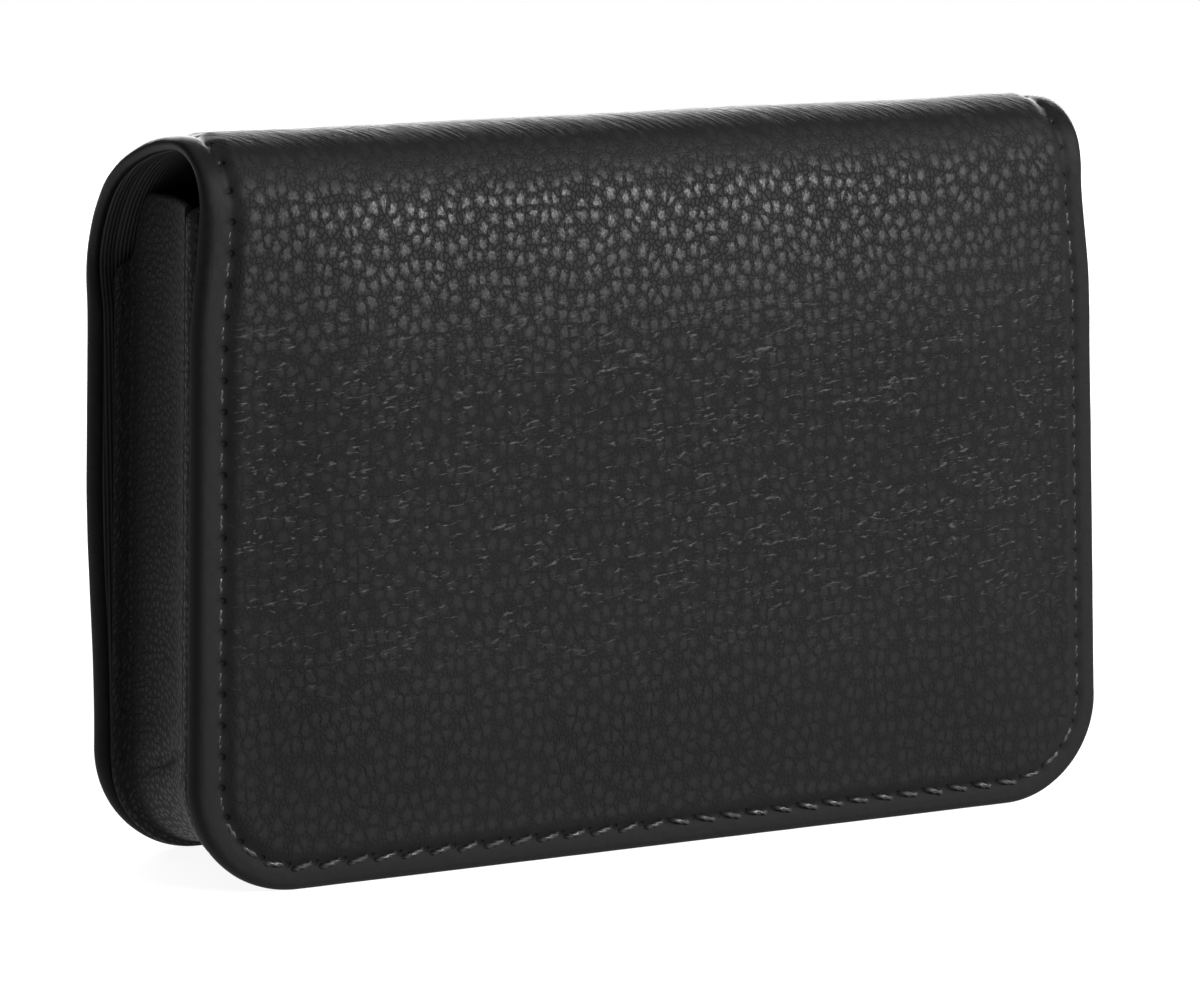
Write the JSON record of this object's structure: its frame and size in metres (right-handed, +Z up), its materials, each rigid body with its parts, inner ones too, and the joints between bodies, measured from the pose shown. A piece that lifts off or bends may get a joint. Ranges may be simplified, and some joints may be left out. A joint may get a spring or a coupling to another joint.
{
  "type": "card holder",
  "caption": "Upright leather case for business cards: padded back, rolled top and fold-over front flap, with a gusseted pocket between.",
  "frame": {"origin": "middle of the footprint that the back panel and the flap stand on", "axes": "+X along the width, +Y from the flap to the back panel, +Z up"},
  "size_m": [0.1054, 0.0282, 0.0752],
  "materials": {
    "outer_leather": "black pebbled grain, semi-matt",
    "inner_leather": "black fine grain, semi-matt",
    "lining_fabric": "ribbed woven lining",
    "thread": "waxed black thread",
    "stiffener": "grey fibreboard",
    "wadding": "thin felted padding",
    "magnet": "nickel-plated disc"
  },
  "bodies": {
    "case": {"back_leather": "outer_leather", "back_wadding": "wadding", "back_board": "stiffener", "back_lining": "lining_fabric", "back_stitching": "thread", "pocket_leather": "inner_leather", "pocket_board": "stiffener", "pocket_lining": "lining_fabric", "pocket_magnets": "magnet", "pocket_stitching": "thread", "gusset": "inner_leather", "gusset_lining": "lining_fabric"},
    "roll_back": {"roll_back_leather": "outer_leather", "roll_back_lining": "lining_fabric", "roll_back_stitching": "thread"},
    "roll_top": {"roll_top_leather": "outer_leather", "roll_top_lining": "lining_fabric", "roll_top_stitching": "thread"},
    "roll_front": {"roll_front_leather": "outer_leather", "roll_front_lining": "lining_fabric", "roll_front_stitching": "thread"},
    "flap": {"flap_leather": "outer_leather", "flap_wadding": "wadding", "flap_board": "stiffener", "flap_lining": "lining_fabric", "flap_magnets": "magnet", "flap_stitching": "thread"}
  },
  "joints": [
    {"name": "roll_back_fold", "type": "hinge", "parent": "case", "child": "roll_back", "pos_m": [0, 0.01271, 0.06388], "axis": [-1, 0, 0], "range_deg": [0, 50]},
    {"name": "roll_top_fold", "type": "hinge", "parent": "roll_back", "child": "roll_top", "pos_m": [0, 0.00319, 0.0734], "axis": [-1, 0, 0], "range_deg": [0, 50]},
    {"name": "roll_front_fold", "type": "hinge", "parent": "roll_top", "child": "roll_front", "pos_m": [0, -0.00899, 0.07458], "axis": [-1, 0, 0], "range_deg": [0, 50]},
    {"name": "flap_fold", "type": "hinge", "parent": "roll_front", "child": "flap", "pos_m": [0, -0.01343, 0.07014], "axis": [-1, 0, 0], "range_deg": [0, 50]}
  ],
  "couplings": [
    {"joint": "roll_back_fold", "follows": "flap_fold", "ratio": 1},
    {"joint": "roll_top_fold", "follows": "flap_fold", "ratio": 1},
    {"joint": "roll_front_fold", "follows": "flap_fold", "ratio": 1}
  ]
}
